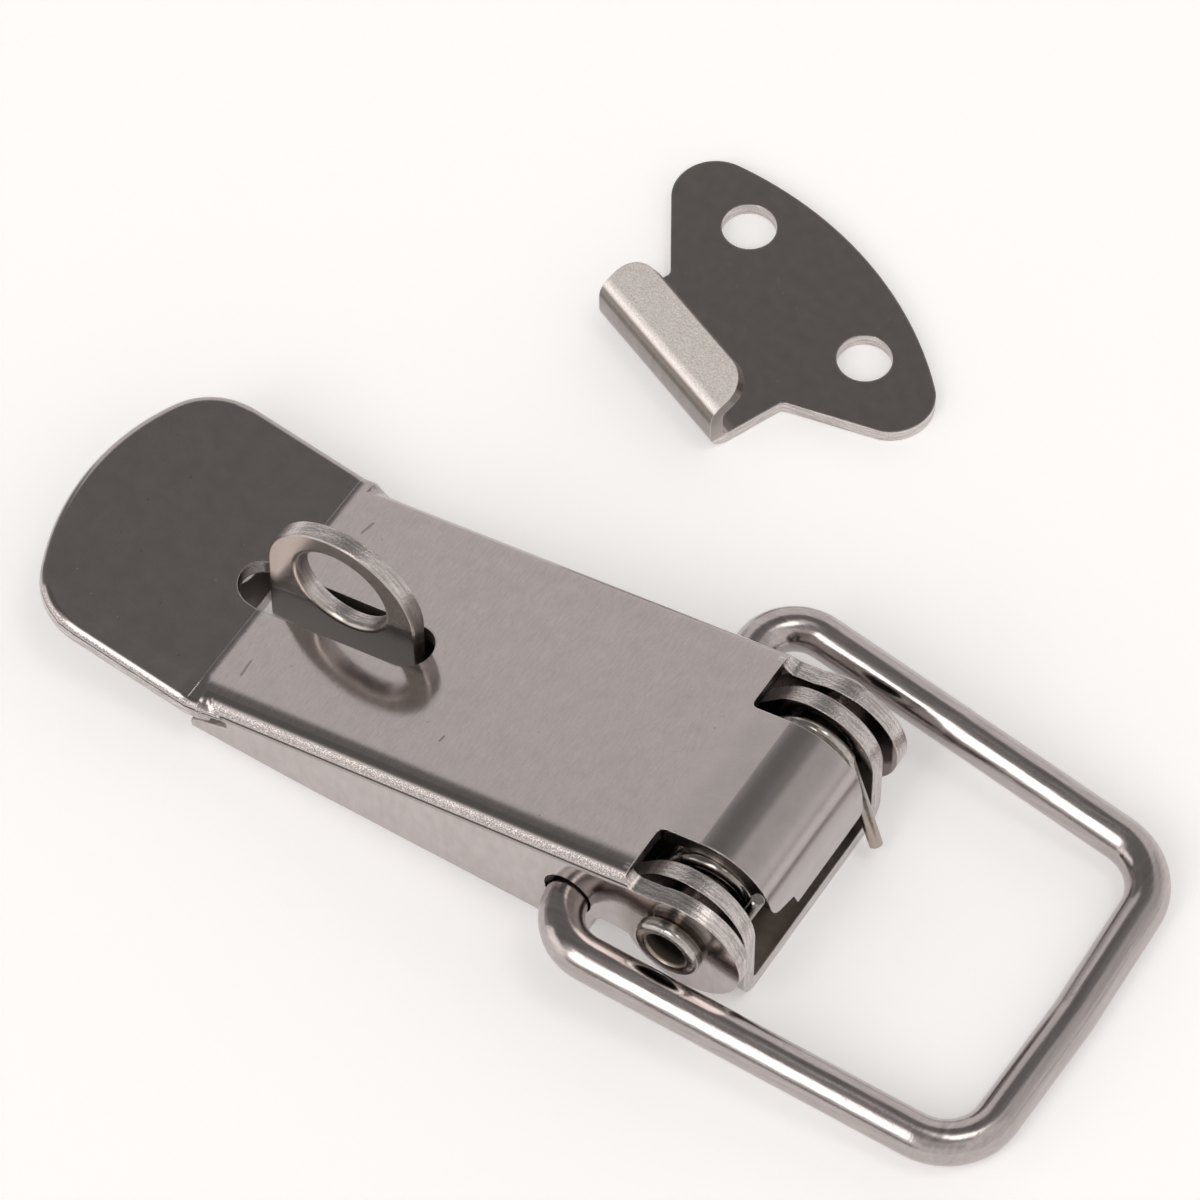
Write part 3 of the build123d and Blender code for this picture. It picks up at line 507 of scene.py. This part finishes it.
def keeper_finish():
    s = Surface("keeper_steel", KEEPER_STEEL, 0.16)
    mottle = s.grain(1.0, 4.0)
    fine = s.grain(9.0, 2.0)
    s.shade(mottle * 0.2 + fine * 0.22 + s.pits(1.4, 0.1, 0.3) * 0.5)
    s.roughen(mottle * 0.05)
    s.emboss(fine * 2.2)
    # the hook's lip is stretched by the bend to a coarse, sparkling grain; its pale colour is a painted
    # highlight
    hook = s.z.rise(PLATE_Z + 0.2, PLATE_Z + 0.6)
    lip = hook * s.face_z.rise(0.52, 0.72)
    peel = s.grain(8.5, 3.0)
    s.tint(lip, STRETCHED_HIGHLIGHT_STEEL)
    s.shade(lip * (peel * 0.9 + s.grain(1.4, 2.0) * 0.15))
    s.dull(lip, 0.44)
    s.emboss(lip * peel * 16.0)
    # painted shade, brown and grainy, along the knuckle between the lip and the front
    knuckle = hook * s.face_z.near(0.28, 0.20, 0.30)
    s.tint(knuckle * (0.85 + peel), BROWN_FILM_AND_SHADE)
    s.emboss(knuckle * peel * 22.0)
    # the hook's front: a fine grain, and painted shade that darkens it upwards
    front = s.z.rise(PLATE_Z - 0.2, PLATE_Z + 0.4) * s.face_z.size().rise(0.4, 0.2)
    upwards = s.z.rise(PLATE_Z + 0.5, PLATE_Z + 2.8)
    s.shade(front * (s.grain(1.6, 3.0, (1.0, 1.0, 0.3)) * 0.4 - 0.10 - upwards * 0.35))
    plate_edge = s.z.rise(PLATE_Z + 0.02, PLATE_Z - 0.04) * s.face_z.size().rise(0.4, 0.3)
    sheared(s, plate_edge, (0.5, 0.5, 5.0))
    return s.steel(edge_radius=0.14, wear_and_highlight=0.85)


def bail_finish():
    """Drawn wire: its fine lines run along the two arms, and along the crossbar."""
    s = Surface("bail_steel", PLAIN_STEEL, 0.155)
    crossbar = s.x.rise(CROSSBAR_X - 5.25, CROSSBAR_X - 2.75)
    arm_lines = s.grain(2.2, 4.0, (0.10, 1.6, 1.6))
    crossbar_lines = s.grain(2.2, 4.0, (1.6, 0.10, 1.6))
    lines = arm_lines * (1 - crossbar) + crossbar_lines * crossbar
    s.shade(lines * 0.45 + s.grain(1.3, 3.0) * 0.12)
    s.roughen(lines * 0.1)
    s.emboss(lines * 9.0 + s.grain(8.0, 3.0) * 4.0)
    s.tint(s.grain(0.9, 3.0).rise(0.12, 0.3) * 0.35, BROWN_FILM_AND_SHADE)
    return s.steel(edge_radius=0.12, wear_and_highlight=0.7)


def spring_finish():
    s = Surface("spring_steel", SPRING_STEEL, 0.12)
    lines = s.grain(3.0, 3.0, (1.0, 1.8, 1.0))
    s.shade(lines * 0.5)
    s.roughen(lines * 0.1)
    s.emboss(lines * 5.0)
    tip_x, tip_z = LEG_TIP
    leg_tip = s.x.rise(tip_x - 2.1, tip_x - 0.6) * s.z.rise(tip_z + 3.2, tip_z + 1.7)
    s.tint(leg_tip * 0.6, WARM_TIP)
    # painted shade on the turns in the near notch, between the tongue and the base's ear
    near_turns = s.y.rise(-5.0, -6.0)
    s.tint(near_turns * 0.45, DARK_TINT)
    return s.steel(edge_radius=0.08, wear_and_highlight=0.7)


def rivet_finish():
    s = Surface("rivet_steel", RIVET_STEEL, 0.16)
    lip = s.y.size().rise(LIP_Y - 0.3, LIP_Y)
    turned = s.grain(5.0, 3.0)
    s.shade(turned * 0.3 + lip * s.pits(3.2, 0.3, 0.35) * 0.9)
    s.roughen(turned * 0.12)
    from_axis = (s.x ** 2.0 + (s.z - RIVET_Z) ** 2.0) ** 0.5
    # painted shade in the groove under the rolled lip
    neck = s.y.size().near(LIP_Y - 0.45, 0.2, 0.42) * from_axis.rise(TUBE_RADIUS - 0.2, TUBE_RADIUS)
    s.tint(neck * 0.75, DARK_TINT)
    bore = from_axis.rise(BORE_RADIUS + 0.15, BORE_RADIUS + 0.05)
    s.tint(bore, BORE_SHEEN)
    # painted shade, darker deeper in the bore
    s.tint(bore * s.y.size().rise(LIP_Y, LIP_Y - 0.7) * 0.9, BORE_DARK)
    s.dull(bore, 0.45)
    s.emboss(turned * 8.0)
    return s.steel(edge_radius=0.10, wear_and_highlight=0.8)


FINISHES = {
    "lever": lever_finish,
    "base_plate": base_finish,
    "keeper": keeper_finish,
    "bail": bail_finish,
    "torsion_spring": spring_finish,
    "rivet": rivet_finish,
}


def dress(node, material):
    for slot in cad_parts[node].material_slots:
        slot.material = material


# ---------------------------------------------------------------- the scene
make_camera()
make_room()
make_floor()
for node, finish in FINISHES.items():
    dress(node, finish())

bpy.context.scene.view_settings.view_transform = "Standard"
bpy.context.scene.view_settings.look = "None"
